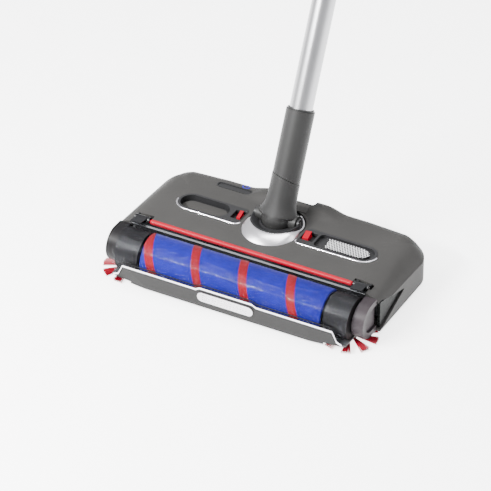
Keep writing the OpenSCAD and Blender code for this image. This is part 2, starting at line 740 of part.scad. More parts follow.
module neck() color("dimgray") leaned() difference() {
    union() {
        sphere(r = ball_r);
        yoke();
        difference() {
            cylinder_from(0, 100, neck_r);
            above_seam(0);
        }
        cylinder_from(0, 76, 15);
    }
    // Flat on the back, so the neck leans over the ring
    translate([-50, back_flat, -50]) cube([100, 50, 50 + neck_len - 12]);
    cylinder_from(76 - 18, 101, 12.6);
    rod_x(-50, 50, 0, 0, tilt_pin_r + fit);
}

module neck_sleeve() color([0.3, 0.3, 0.31]) leaned() difference() {
    intersection() {
        union() {
            cylinder_from(0, sleeve_end - 2, neck_r - 0.6);
            cylinder_from(0, sleeve_end, neck_r - 2);
        }
        above_seam(0.5);
    }
    cylinder_from(0, sleeve_end + 1, 15 + fit);
}

module tube_lower() color("silver") leaned() ring(tube_r, tube_r - 1, 76.2, tube_mid);

module tube_coupler() color([0.25, 0.25, 0.26]) leaned()
    ring(17, tube_r + 0.02, tube_mid - 30, tube_mid + 34);

module tube_upper() color("silver") leaned() ring(tube_r, tube_r - 1, tube_mid + 0.2, tube_top);

module grip() color([0.2, 0.2, 0.21]) leaned() difference() {
    ring(17.5, tube_r + 0.02, tube_top - 130, tube_top);
    for (i = [0:7]) translate([0, 0, tube_top - 116 + 14 * i]) ring(20, 16.9, 0, 2);
}

module grip_cap() color([0.25, 0.25, 0.26]) leaned() difference() {
    union() {
        cylinder_from(tube_top + 0.2, tube_top + 10, 17.5);
        translate([0, 0, tube_top + 22]) rotate([0, 90, 0]) translate([0, 0, -5])
            cylinder(r = 13, h = 10);
        translate([-5, -13, tube_top + 8]) cube([10, 26, 14]);
    }
    translate([-50, 0, tube_top + 24]) rotate([0, 90, 0]) cylinder(r = hang_r, h = 100);
}

top_housing();
base_plate();
brush_hood();
front_bumper();
chrome_strip();
seal_bar();
end_cap_left();
end_cap_right();
bearing_block_left();
motor_block_right();
cover_hinge_brackets();
hinge_pins();
clear_cover();
cover_knuckles();
cover_latch_button();
roller_core();
roller_sleeve();
roller_spiral();
roller_stub_axle();
drive_motor();
roller_bearing();
side_brush_left();
side_brush_right();
tufts_left();
tufts_right();
brush_motors();
dust_bin_left();
dust_bin_right();
bin_window_left();
bin_window_right();
finger_cup();
vent_bezel();
vent_mesh();
insert_rims();
release_slider_left();
release_slider_right();
power_button();
power_bezel();
power_light();
power_switch();
battery_pack();
circuit_board();
charging_socket();
hub_collar();
hub_bearing();
turret();
turret_clip();
tilt_pin();
neck();
neck_sleeve();
tube_lower();
tube_coupler();
tube_upper();
grip();
grip_cap();
rear_wheel_left();
rear_wheel_right();
front_wheel_left();
front_wheel_right();
screws();
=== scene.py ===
import math

import bmesh
import bpy
from mathutils import Matrix, Vector
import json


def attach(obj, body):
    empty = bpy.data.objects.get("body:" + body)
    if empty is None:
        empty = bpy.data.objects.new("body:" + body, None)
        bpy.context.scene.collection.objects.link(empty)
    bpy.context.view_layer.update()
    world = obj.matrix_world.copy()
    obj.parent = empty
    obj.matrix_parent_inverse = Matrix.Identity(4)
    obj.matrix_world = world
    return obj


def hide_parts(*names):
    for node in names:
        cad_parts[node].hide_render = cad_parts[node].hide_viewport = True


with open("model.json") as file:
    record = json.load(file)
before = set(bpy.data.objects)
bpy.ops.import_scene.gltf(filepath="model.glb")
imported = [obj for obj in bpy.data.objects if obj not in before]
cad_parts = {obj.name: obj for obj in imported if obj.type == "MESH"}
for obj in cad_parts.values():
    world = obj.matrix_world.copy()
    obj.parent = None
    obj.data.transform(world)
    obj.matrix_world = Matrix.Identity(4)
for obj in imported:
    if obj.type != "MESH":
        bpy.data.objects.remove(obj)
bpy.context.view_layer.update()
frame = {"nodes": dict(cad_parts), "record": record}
nodes = frame["nodes"]
MM = 0.001


# ---------- materials ----------

def new_material(name):
    mat = bpy.data.materials.new(name)
    mat.use_nodes = True
    tree = mat.node_tree
    shader = tree.nodes["Principled BSDF"]
    coords = tree.nodes.new("ShaderNodeTexCoord")
    return mat, tree, shader, coords


def stretched_coords(tree, coords, stretch):
    mapping = tree.nodes.new("ShaderNodeMapping")
    mapping.inputs["Scale"].default_value = stretch
    tree.links.new(coords.outputs["Object"], mapping.inputs["Vector"])
    return mapping.outputs["Vector"]


def noise(tree, vector, scale, detail=3.0):
    node = tree.nodes.new("ShaderNodeTexNoise")
    node.inputs["Scale"].default_value = scale
    node.inputs["Detail"].default_value = detail
    tree.links.new(vector, node.inputs["Vector"])
    return node.outputs["Fac"]


def remap(tree, value, low, high):
    node = tree.nodes.new("ShaderNodeMapRange")
    node.inputs["To Min"].default_value = low
    node.inputs["To Max"].default_value = high
    tree.links.new(value, node.inputs["Value"])
    return node.outputs["Result"]


def tint(tree, shader, value, dark, light):
    ramp = tree.nodes.new("ShaderNodeValToRGB")
    ramp.color_ramp.elements[0].color = (*dark, 1)
    ramp.color_ramp.elements[0].position = 0.3
    ramp.color_ramp.elements[1].color = (*light, 1)
    ramp.color_ramp.elements[1].position = 0.7
    tree.links.new(value, ramp.inputs["Fac"])
    tree.links.new(ramp.outputs["Color"], shader.inputs["Base Color"])


def bump(tree, shader, value, strength, distance):
    node = tree.nodes.new("ShaderNodeBump")
    node.inputs["Strength"].default_value = strength
    node.inputs["Distance"].default_value = distance
    tree.links.new(value, node.inputs["Height"])
    tree.links.new(node.outputs["Normal"], shader.inputs["Normal"])


def surface(name, color, rough, metal=0.0, coat=0.0, grain=0.15, scale=2500.0, vary=0.08, stretch=(1, 1, 1),
            specular=0.5):
    """A moulded or metal surface: fine grain in the normal, slow change of tone and roughness."""
    mat, tree, shader, coords = new_material(name)
    vector = stretched_coords(tree, coords, stretch)
    slow = noise(tree, vector, 14.0)
    fine = noise(tree, vector, scale, 2.0)
    tint(tree, shader, slow, [c * (1 - vary) for c in color], [min(1.0, c * (1 + vary)) for c in color])
    tree.links.new(remap(tree, slow, rough * 0.9, min(1.0, rough * 1.12)), shader.inputs["Roughness"])
    shader.inputs["Metallic"].default_value = metal
    shader.inputs["Specular IOR Level"].default_value = specular
    shader.inputs["Coat Weight"].default_value = coat
    shader.inputs["Coat Roughness"].default_value = 0.08
    if grain:
        bump(tree, shader, fine, grain, 0.0001)
    return mat


def plush(name, dark, light, sheen):
    """Short dense pile: soft mottled colour, deep fine grain and sheen."""
    mat, tree, shader, coords = new_material(name)
    vector = coords.outputs["Object"]
    pile = noise(tree, vector, 900.0, 4.0)
    patches = noise(tree, vector, 120.0, 2.0)
    blend = tree.nodes.new("ShaderNodeMath")
    blend.operation = "ADD"
    tree.links.new(remap(tree, pile, 0.0, 0.6), blend.inputs[0])
    tree.links.new(remap(tree, patches, 0.0, 0.4), blend.inputs[1])
    tint(tree, shader, blend.outputs[0], dark, light)
    shader.inputs["Roughness"].default_value = 0.8
    shader.inputs["Specular IOR Level"].default_value = 0.15
    shader.inputs["Sheen Weight"].default_value = sheen
    shader.inputs["Sheen Roughness"].default_value = 0.4
    bump(tree, shader, pile, 0.6, 0.0006)
    return mat


def clear(name, color, opacity, rough, gloss, metal):
    """Thin clear plastic: light passes, and the surface mirrors more at a glancing angle."""
    mat, tree, shader, coords = new_material(name)
    output = tree.nodes["Material Output"]
    shader.inputs["Base Color"].default_value = (*color, 1)
    tree.links.new(remap(tree, noise(tree, coords.outputs["Object"], 30.0), rough, rough * 1.6),
                   shader.inputs["Roughness"])
    shader.inputs["Metallic"].default_value = metal
    shader.inputs["Specular IOR Level"].default_value = 0.12
    see_through = tree.nodes.new("ShaderNodeBsdfTransparent")
    see_through.inputs["Color"].default_value = (*[0.55 + 0.45 * c for c in color], 1)
    facing = tree.nodes.new("ShaderNodeLayerWeight")
    facing.inputs["Blend"].default_value = 0.5
    grazing = tree.nodes.new("ShaderNodeMath")
    grazing.operation = "POWER"
    grazing.inputs[1].default_value = 4.0
    tree.links.new(facing.outputs["Facing"], grazing.inputs[0])
    share = remap(tree, grazing.outputs[0], opacity, opacity + gloss)
    mix = tree.nodes.new("ShaderNodeMixShader")
    tree.links.new(share, mix.inputs["Fac"])
    tree.links.new(see_through.outputs["BSDF"], mix.inputs[1])
    tree.links.new(shader.outputs["BSDF"], mix.inputs[2])
    tree.links.new(mix.outputs["Shader"], output.inputs["Surface"])
    return mat


MATERIALS = {
    "housing_grey": surface("housing_grey", (0.033, 0.032, 0.031), 0.55, grain=0.12, specular=0.1),
    "dark_plastic": surface("dark_plastic", (0.014, 0.014, 0.015), 0.4, grain=0.1, specular=0.25),
    "underside": surface("underside", (0.045, 0.045, 0.047), 0.5),
    "chrome_trim": surface("chrome_trim", (0.7, 0.68, 0.72), 0.14, metal=1.0, grain=0.0, vary=0.02),
    "red_gloss": surface("red_gloss", (0.26, 0.0, 0.01), 0.35, coat=0.02, grain=0.05, specular=0.1),
    "cap_grey": surface("cap_grey", (0.022, 0.0175, 0.02), 0.45, grain=0.12, specular=0.15),
    "black_gloss": surface("black_gloss", (0.004, 0.004, 0.005), 0.3, grain=0.0, specular=0.25),
    "clear_cover": clear("clear_cover", (0.93, 0.95, 0.98), 0.0012, 0.03, 0.16, 1.0),
    "smoked": clear("smoked", (0.003, 0.004, 0.0035), 0.9, 0.4, 0.05, 0.0),
    "bin_plastic": surface("bin_plastic", (0.04, 0.042, 0.045), 0.4),
    "core_plastic": surface("core_plastic", (0.55, 0.55, 0.55), 0.4),
    "roller_plush": plush("roller_plush", (0.0015, 0.0015, 0.075), (0.006, 0.006, 0.19), 0.05),
    "roller_band": plush("roller_band", (0.08, 0.001, 0.003), (0.2, 0.0015, 0.008), 0.04),
    "bristle_red": surface("bristle_red", (0.22, 0.002, 0.012), 0.4, grain=0.0, specular=0.2),
    "steel": surface("steel", (0.5, 0.5, 0.5), 0.3, metal=1.0),
    "battery": surface("battery", (0.05, 0.12, 0.3), 0.35),
    "board_green": surface("board_green", (0.015, 0.11, 0.04), 0.4),
    "silver_plastic": surface("silver_plastic", (0.5, 0.49, 0.51), 0.26, metal=1.0, grain=0.04),
    "violet_print": surface("violet_print", (0.02, 0.012, 0.3), 0.4, grain=0.0, specular=0.2),
    "neck_grey": surface("neck_grey", (0.018, 0.0178, 0.0176), 0.45, grain=0.1, specular=0.18),
    "tube_silver": surface("tube_silver", (0.36, 0.36, 0.37), 0.3, metal=1.0, grain=0.2, scale=260.0,
                           stretch=(1, 1, 0.02)),
    "grip_rubber": surface("grip_rubber", (0.03, 0.03, 0.032), 0.6, grain=0.3),
    "tyre_black": surface("tyre_black", (0.02, 0.02, 0.02), 0.7, grain=0.3),
}
BUMPER_TONE = surface("bumper_grey", (0.017, 0.0167, 0.0165), 0.5, grain=0.12, specular=0.15)
DARK_CAP_TONE = surface("dark_cap", (0.006, 0.0055, 0.006), 0.45, specular=0.12)
WIRE_TONE = surface("grille_wire", (0.62, 0.62, 0.63), 0.45, grain=0.0, vary=0.02)
COLLAR_TONE = surface("collar_silver", (0.78, 0.76, 0.79), 0.28, metal=1.0, grain=0.05, vary=0.05)
SLOT_OF = {s["node"]: s["material_slot"] for s in frame["record"]["subparts"]}


def paint(obj, slot, tone=None):
    """Gives the piece the material of its slot, or a tone of its own."""
    obj.data.materials.clear()
    obj.data.materials.append(tone or MATERIALS[slot])


# ---------- mesh helpers (millimetres in, metres out) ----------

def add_object(name, verts, faces, slot, body, smooth=35, tone=None):
    mesh = bpy.data.meshes.new(name)
    mesh.from_pydata([Vector(v) * MM for v in verts], [], faces)
    mesh.validate()
    obj = bpy.data.objects.new(name, mesh)
    bpy.context.scene.collection.objects.link(obj)
    work = bmesh.new()
    work.from_mesh(mesh)
    bmesh.ops.recalc_face_normals(work, faces=work.faces)
    work.to_mesh(mesh)
    work.free()
    shade(obj, smooth)
    paint(obj, slot, tone)
    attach(obj, body)
    return obj


def shade(obj, angle):
    mesh = obj.data
    mesh.polygons.foreach_set("use_smooth", [True] * len(mesh.polygons))
    work = bmesh.new()
    work.from_mesh(mesh)
    for edge in work.edges:
        edge.smooth = len(edge.link_faces) == 2 and edge.calc_face_angle(0) < math.radians(angle)
    work.to_mesh(mesh)
    work.free()


def loft(rings, closed=True, caps=(True, True), loop=False):
    """Joins equal rings of points into one skin; loop also joins the last ring to the first."""
    count = len(rings[0])
    if loop:
        caps = (False, False)
    verts = [p for ring in rings for p in ring]
    faces = []
    last = count if closed else count - 1
    for k in range(len(rings) - 1):
        for i in range(last):
            j = (i + 1) % count
            faces.append((k * count + i, k * count + j, (k + 1) * count + j, (k + 1) * count + i))
    if loop:
        base = (len(rings) - 1) * count
        faces += [(base + i, base + (i + 1) % count, (i + 1) % count, i) for i in range(count)]
    if caps[0]:
        faces.append(tuple(range(count - 1, -1, -1)))
    if caps[1]:
        faces.append(tuple(range((len(rings) - 1) * count, len(rings) * count)))
    return verts, faces


def bevel(obj, width, segments=3):
    mod = obj.modifiers.new("edges", "BEVEL")
    mod.width = width * MM
    mod.segments = segments
    mod.limit_method = "ANGLE"
    mod.angle_limit = math.radians(35)


def box_at(lo, hi):
    """Plain cutter box between two corners."""
    verts = [(x, y, z) for x in (lo[0], hi[0]) for y in (lo[1], hi[1]) for z in (lo[2], hi[2])]
    faces = [(0, 1, 3, 2), (4, 6, 7, 5), (0, 4, 5, 1), (2, 3, 7, 6), (0, 2, 6, 4), (1, 5, 7, 3)]
    return verts, faces


def prism(outline, place, depth):
    """Outline of (u, v) points pushed along a depth range; place turns (u, v, w) into (x, y, z)."""
    return loft([[place(u, v, w) for u, v in outline] for w in depth])


def on_x(u, v, w):
    return (w, u, v)


def on_z(u, v, w):
    return (u, v, w)


def circle(cx, cy, r, n=64, start=0.0, sweep=360.0):
    full = abs(sweep) >= 360
    return [(cx + r * math.cos(math.radians(start + sweep * i / (n if full else n - 1))),
             cy + r * math.sin(math.radians(start + sweep * i / (n if full else n - 1)))) for i in range(n)]


def rounded(outline, radii, n=8):
    """Closed polygon with its corners rounded."""
    points = []
    count = len(outline)
    for i, corner in enumerate(outline):
        before, after = Vector(outline[i - 1]), Vector(outline[(i + 1) % count])
        here = Vector(corner)
        to_before, to_after = (before - here).normalized(), (after - here).normalized()
        half = to_before.angle(to_after) / 2
        back = min(radii[i] / math.tan(half), (before - here).length / 2, (after - here).length / 2)
        reach = back * math.tan(half)
        centre = here + (to_before + to_after).normalized() * (reach / math.sin(half))
        start, end = here + to_before * back - centre, here + to_after * back - centre
        turn = start.angle_signed(end)
        for k in range(n + 1):
            t = -turn * k / n
            points.append((centre.x + start.x * math.cos(t) - start.y * math.sin(t),
                           centre.y + start.x * math.sin(t) + start.y * math.cos(t)))
    return points


def bar_outline(x0, x1, y, hw, n=16):
    """Stadium in plan."""
    return (circle(x1 - hw, y, hw, n, -90, 180) + circle(x0 + hw, y, hw, n, 90, 180))


def insert_outline(x_round, x_square, hw):
    """Plan of the top inserts: one round end and one square end with small corners."""
    side = 1 if x_square > x_round else -1
    xr, corner = x_round + side * hw, 6
    xs = x_square - side * corner
    points = circle(xr, INSERT_Y, hw, 24, 90 * side, 180)
    points += circle(xs, INSERT_Y - side * (hw - corner), corner, 8, -90 * side, 90)
    points += circle(xs, INSERT_Y + side * (hw - corner), corner, 8, 90 - 90 * side, 90)
    return points


def carve(obj, cutters, angle=35):
    """Cuts the shapes out of the mesh for good."""
    work = bmesh.new()
    work.from_mesh(obj.data)
    bmesh.ops.triangulate(work, faces=work.faces)
    if work.calc_volume(signed=True) < 0:
        bmesh.ops.reverse_faces(work, faces=work.faces)
    work.to_mesh(obj.data)
    work.free()
    tools = []
    for verts, faces in cutters:
        mesh = bpy.data.meshes.new("cutter")
        mesh.from_pydata([Vector(v) * MM for v in verts], [], faces)
        work = bmesh.new()
        work.from_mesh(mesh)
        bmesh.ops.recalc_face_normals(work, faces=work.faces)
        work.to_mesh(mesh)
        work.free()
        tool = bpy.data.objects.new("cutter", mesh)
        bpy.context.scene.collection.objects.link(tool)
        mod = obj.modifiers.new("cut", "BOOLEAN")
        mod.operation = "DIFFERENCE"
        mod.solver = "EXACT"
        mod.object = tool
        tools.append(tool)
    graph = bpy.context.evaluated_depsgraph_get()
    result = bpy.data.meshes.new_from_object(obj.evaluated_get(graph))
    obj.modifiers.clear()
    obj.data = result
    for tool in tools:
        bpy.data.objects.remove(tool, do_unlink=True)
    shade(obj, angle)


def bar(verts, faces, ends, across, rise):
    """Adds a thin three-sided bar between two points to the lists."""
    nx, ny = across
    base = len(verts)
    for x, y, z in ends:
        verts += [(x + nx, y + ny, z), (x - nx, y - ny, z), (x, y, z + rise)]
    faces += [(base, base + 1, base + 4, base + 3), (base + 1, base + 2, base + 5, base + 4),
              (base + 2, base, base + 3, base + 5), (base, base + 2, base + 1), (base + 3, base + 4, base + 5)]


def clip(outline, p, q):
    """Part of the line from p to q inside the convex outline, or None."""
    low, high = 0.0, 1.0
    count = len(outline)
    for i in range(count):
        (ax, ay), (bx, by) = outline[i], outline[(i + 1) % count]
        nx, ny = ay - by, bx - ax
        dp = (p[0] - ax) * nx + (p[1] - ay) * ny
        dq = (q[0] - ax) * nx + (q[1] - ay) * ny
        if dp < 0 and dq < 0:
            return None
        if dp * dq < 0:
            t = dp / (dp - dq)
            if dp < 0:
                low = max(low, t)
            else:
                high = min(high, t)
    if high - low < 1e-3:
        return None
    return [(p[0] + (q[0] - p[0]) * t, p[1] + (q[1] - p[1]) * t) for t in (low, high)]


def smoothstep(low, high, value):
    t = max(0.0, min(1.0, (value - low) / (high - low)))
    return t * t * (3 - 2 * t)


def between(stations, t):
    """Values of the stations on either side of t, blended evenly."""
    for (t0, v0), (t1, v1) in zip(stations, stations[1:]):
        if t <= t1:
            k = (t - t0) / (t1 - t0)
            return [p + (q - p) * k for p, q in zip(v0, v1)]
    return stations[-1][1]


def curve_at(points, d):
    """Height of a falling-off profile at distance d, as a smooth curve through its points."""
    for i in range(len(points) - 1):
        if d <= points[i + 1][0]:
            break
    p0 = points[max(i - 1, 0)]
    p1, p2 = points[i], points[i + 1]
    p3 = points[min(i + 2, len(points) - 1)]
    span = p2[0] - p1[0]
    k = max(0.0, min(1.0, (d - p1[0]) / span))
    m1 = (p2[1] - p0[1]) / max(p2[0] - p0[0], 1e-6) * span
    m2 = (p3[1] - p1[1]) / max(p3[0] - p1[0], 1e-6) * span
    return ((2 * k ** 3 - 3 * k ** 2 + 1) * p1[1] + (k ** 3 - 2 * k ** 2 + k) * m1
            + (-2 * k ** 3 + 3 * k ** 2) * p2[1] + (k ** 3 - k ** 2) * m2)


# ---------- CAD nodes ----------

DARK_NODES = ("end_cap_left", "bearing_block_left", "motor_block_right", "roller_core", "roller_bearing")
TONE_OF = {"front_bumper": BUMPER_TONE, **{node: DARK_CAP_TONE for node in DARK_NODES}}
for node, obj in nodes.items():
    paint(obj, SLOT_OF[node], TONE_OF.get(node))

for node in ("chrome_strip", "cover_latch_button", "base_plate", "release_slider_left", "release_slider_right",
             "power_button", "power_bezel", "turret", "finger_cup", "grip_cap", "tube_coupler"):
    bevel(nodes[node], 0.5)
for node in ("end_cap_left", "end_cap_right"):
    bevel(nodes[node], 2.2, 4)


# ---------- housing ----------

HALF_WIDTH, REAR, FRONT, CORNER = 181, 66, -77, 34
INSERT_Y, INSERT_HW = -8.5, 17
CHEEK_X, BIN_IN, BODY_BOTTOM, WALL_MID = 160, 78, 6.0, 24.0
HUB_HOLE_R, NOTCH_HW, SOCKET_X, SOCKET_Z, SOCKET_R = 36.2, 26, 90, 24, 7
CUP_SPAN, BEZEL_SPAN, POWER_SPAN = (-131, -41), (140, 38.6), (-106, -57)
POWER_Y, POWER_HW, CLEAR_TOP = 42.5, 5.5, 90
ROLLER_Y, ROLLER_Z = -96.2, 28.5
CORE_R = 24.02
HUMP_RISE = 6.2
WALL, NOTCH_FLOOR, HOLLOW_FRONT = 2.6, 50.2, -64
RIM_INSETS = [0, 0.7, 1.5, 2.5, 3.5, 5, 6.5, 8, 10, 12, 14, 16, 18, 20, 22.5, 25, 28, 31, 34, 38, 43, 50, 58, 67]
# Profile of the edge along the rim: height of the wall, then (inset, height) of shoulder, crease, upper slope
RIM = [
    (0.0, [41, 4, 47.0, 10, 52.0, 30, 57.3, 60]),
    (0.30, [38.5, 8, 48.0, 18, 55.0, 34, 57.4, 60]),
    (0.42, [37, 8, 46.0, 18, 53.6, 34, 57.2, 60]),
    (0.50, [38, 5, 44.5, 15, 52.5, 32, 57.0, 60]),
    (0.58, [42, 2.5, 47.5, 7.5, 53.0, 20, 57.0, 50]),
    (0.72, [45, 2, 50.0, 6, 54.5, 14, 57.3, 40]),
    (1.0, [46, 2, 51.0, 6, 55.0, 14, 57.4, 40]),
]


def rim_points(inset, front=FRONT):
    """(x, y, place on the rim from 0 at the front corner to 1 at the middle of the rear) round the outline."""
    half, rear = HALF_WIDTH - inset, REAR - inset
    r = max(CORNER - inset, 5)
    side_n, arc_n, rear_n, front_n = 30, 22, 60, 60
    right = [(half, front + (rear - r - front) * i / side_n, 0.42 * i / side_n) for i in range(side_n)]
    right += [(half - r + r * math.sin(math.radians(90 - 90 * i / arc_n)),
               rear - r + r * math.cos(math.radians(90 - 90 * i / arc_n)), 0.42 + 0.16 * i / arc_n)
              for i in range(arc_n)]
    right += [((half - r) * (1 - i / rear_n), rear, 0.58 + 0.42 * i / rear_n) for i in range(rear_n + 1)]
    left = [(-x, y, t) for x, y, t in reversed(right[:-1])]
    nose = [(-half + 2 * half * i / front_n, front, 0.0) for i in range(1, front_n)]
    return right + left + nose


def housing_height(x, y, t, inset):
    e, d1, z1, d2, z2, d3, z3, d4 = between(RIM, t)
    z = curve_at([(0, e), (d1, z1), (d2, z2), (d3, z3), (d4, 58), (d4 + 200, 58)], inset)
    hump = (1 - smoothstep(38, 68, abs(x))) * smoothstep(28, 42, y)
    return z + HUMP_RISE * hump


def hollow():
    """Inside of the housing: the outer form moved in and down by the wall, and lower under the notch."""
    inner = rim_points(WALL, HOLLOW_FRONT)
    rings = [[(x, y, z) for x, y, t in inner] for z in (BODY_BOTTOM - 2, WALL_MID)]
    for inset in RIM_INSETS:
        ring = []
        for x, y, t in rim_points(inset + WALL, HOLLOW_FRONT):
            roof = NOTCH_FLOOR - WALL if abs(x) < NOTCH_HW + 6 and y > 38 else CLEAR_TOP
            ring.append((x, y, min(housing_height(x, y, t, inset) - WALL, roof)))
        rings.append(ring)
    return loft(rings)


def housing():
    rings = [[(x, y, z) for x, y, t in rim_points(inset)]
             for inset, z in ((0.6, BODY_BOTTOM), (0, BODY_BOTTOM + 1), (0, WALL_MID))]
    for inset in RIM_INSETS:
        rings.append([(x, y, housing_height(x, y, t, inset)) for x, y, t in rim_points(inset)])
    verts, faces = loft(rings)
    shell = add_object("housing", verts, faces, "housing_grey", "sweeper_body")
    window = rounded([(-79, 9.6), (-70, 9.6), (-12.5, 30.3), (-70, 46), (-79, 46)], (0.5, 6, 0.8, 6, 0.5))
    notch = rounded([(-NOTCH_HW, 47), (NOTCH_HW, 47), (NOTCH_HW, 100), (-NOTCH_HW, 100)], (5, 5, 1, 1))
    cutters = [
        hollow(),
        box_at((0.2 - CHEEK_X, -67, 4), (CHEEK_X - 0.2, -63, 55.2)),
        # Bay of the roller, and the low back of the hub
        box_at((-CHEEK_X, -99, -1), (CHEEK_X, -66, 91)),
        box_at((-23, 28, 58.02), (23, 47.9, 91)),
        prism(circle(ROLLER_Y, ROLLER_Z, 33.4, 96), on_x, (-CHEEK_X, CHEEK_X)),
        # Seats of the cover hinges, and the flank openings of the dust bins
        box_at((137.5, -68, 48), (162.5, -58.2, 80)), box_at((-162.5, -68, 48), (-137.5, -58.2, 80)),
        prism(window, on_x, (BIN_IN, 200)), prism(window, on_x, (-200, -BIN_IN)),
        # Hub, inserts, foot switch, notch for the leaned-back neck, and charging socket
        prism(circle(0, 0, HUB_HOLE_R, 96), on_z, (40, CLEAR_TOP)),
        prism(insert_outline(*CUP_SPAN, INSERT_HW), on_z, (46, CLEAR_TOP)),
        prism(insert_outline(*BEZEL_SPAN, INSERT_HW), on_z, (46, CLEAR_TOP)),
        prism(bar_outline(*POWER_SPAN, POWER_Y, POWER_HW), on_z, (36, CLEAR_TOP)),
        prism(notch, on_z, (NOTCH_FLOOR, CLEAR_TOP)),
        prism(circle(SOCKET_X, SOCKET_Z, SOCKET_R), lambda u, v, w: (u, w, v), (50, 80)),
    ]
    carve(shell, cutters, 30)
    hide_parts("top_housing")


# ---------- clear cover ----------

COVER_Z, COVER_R, COVER_T = 27.0, 32.3, 1.6


def cover_end_angle(x):
    """How far round the front the cover reaches at x, in degrees from straight back."""
    x = abs(x)
    raised = 6.5 * (1 - smoothstep(35, 41.5, x))
    return 178 - raised + 34 * smoothstep(143.5, 149, x)


def clear_cover():
    stations = [0, 20, 34, 35, 36.5, 38, 39.5, 41, 42, 60, 90, 120, 142, 143.5, 144.5, 145.5, 146.5, 147.5, 148.5,
                149.5, 154, 157.6, 158.5]
    stations = [-x for x in reversed(stations[1:])] + stations
    rings = []
    for x in stations:
        end = cover_end_angle(x)
        pinch = 0.5 if abs(x) > 158 else 0.0
        angles = [90 + 70 * i / 40 for i in range(41)] + [160 + (end - 160) * i / 8 for i in range(1, 9)]
        outer, inner = ([(ROLLER_Y + radius * math.cos(math.radians(a)), COVER_Z + radius * math.sin(math.radians(a)))
                         for a in angles] for radius in (COVER_R - pinch, COVER_R - COVER_T + pinch))
        inner.reverse()
        ring = [(-71.8, COVER_Z + COVER_R - 1.1), (-77.8, COVER_Z + COVER_R - 0.4)]
        ring += outer + inner
        ring += [(-77.8, COVER_Z + COVER_R - COVER_T - 0.4), (-71.8, COVER_Z + COVER_R - COVER_T - 1.1)]
        rings.append([(x, u, v) for u, v in ring])
    verts, faces = loft(rings)
    shell = add_object("cover_shell", verts, faces, "clear_cover", "cover", 30)
    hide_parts("clear_cover")
    # Front lip, stepped up over the latch: three rails, the middle one clear, the outer two in the dark tone as
    # painted shade for the dark edge lines of the clear lip
    for k, (y0, y1, low, high) in enumerate(((-130.6, -129.6, 0.0, 1.0), (-129.9, -129.0, 1.4, 2.3),
                                             (-129.2, -128.3, 2.7, 3.6))):
        path = [(-143, 27.8), (-41, 27.8), (-36, 30.8), (36, 30.8), (41, 27.8), (143, 27.8)]
        rail_rings = []
        for x, z in path:
            rail_rings.append([(x, y0, z + low), (x, y1, z + low), (x, y1, z + high), (x, y0, z + high)])
        verts, faces = loft(rail_rings)
        add_object("cover_lip_%d" % k, verts, faces, "clear_cover", "cover", 30, None if k == 1 else DARK_CAP_TONE)


# ---------- roller ----------

def roller():
    """Plush sleeve round the core, and the spiral band on it."""
    rings = []
    for x, r in ((-123, 25.0), (-122.6, 26.6), (-121.5, 27.3), (-60, 27.4), (0, 27.4), (60, 27.4), (121.5, 27.3),
                 (122.6, 26.6), (123, 25.0), (123, CORE_R), (-123, CORE_R)):
        rings.append([(x, u, v) for u, v in circle(ROLLER_Y, ROLLER_Z, r, 96)])
    verts, faces = loft(rings, loop=True)
    sleeve = add_object("plush_sleeve", verts, faces, "roller_plush", "roller", 40)
    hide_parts("roller_sleeve")
    # The middle of the band is at facing_x where it faces up and forward
    pitch, half_width, steps, band_end, band_r, facing_x = 64.5, 6.2, 500, 122.8, 27.3, -49.7
    rings = []
    for i in range(steps + 1):
        x = -band_end + 2 * band_end * i / steps
        middle = 135 + 360 * (x - facing_x) / pitch
        half = 360 * half_width / pitch
        outline = [(1 - abs(k / 6) ** 8) * 0.62 + 0.02 for k in range(-6, 7)]
        rings.append([(x, ROLLER_Y + (band_r + rise) * math.cos(math.radians(middle + half * k / 6)),
                       ROLLER_Z + (band_r + rise) * math.sin(math.radians(middle + half * k / 6)))
                      for k, rise in zip(range(-6, 7), outline)])
    verts, faces = loft(rings, closed=False, caps=(False, False))
    band = add_object("spiral_band", verts, faces, "roller_band", "roller", 60)
    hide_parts("roller_spiral")


# ---------- side brushes ----------

def side_brush_tufts():
    """Splayed tufts of both side brushes, shorter where they meet the roller at rest."""
    tufts_round, bristles, brush_x = 9, 44, 150
    root_r, full_reach, short_reach, half_wide = 8.0, 35.6, 25.2, 0.42
    for side, phase, body, node in ((1, 9, "brush_right", "tufts_right"), (-1, -11, "brush_left", "tufts_left")):
        verts, faces = [], []
        for t in range(tufts_round):
            aim = math.radians(phase + 360 // tufts_round * t)
            by_roller = abs(math.sin(aim)) < 0.62 and math.cos(aim) < 0
            for k in range(bristles):
                spread = ((k * 7) % 11 - 5) / 5
                layer = ((k * 5) % 9) / 8
                reach = (short_reach if by_roller else full_reach) - 1.6 * ((k * 3) % 7) / 7
                a0, a1 = aim + spread * 0.09, aim + spread * 0.155
                root = (root_r * math.cos(a0), root_r * math.sin(a0), 3.6 + layer * 1.6)
                tip = (reach * math.cos(a1), reach * math.sin(a1), 1.1 + layer * 3.6)
                bar(verts, faces, [root, tip], (-math.sin(aim) * half_wide, math.cos(aim) * half_wide), half_wide)
        verts = [(side * (brush_x + x), ROLLER_Y + y, z) for x, y, z in verts]
        tufts = add_object("bristles_" + body, verts, faces, "bristle_red", body, 80)
        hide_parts(node)


# ---------- vent grille ----------

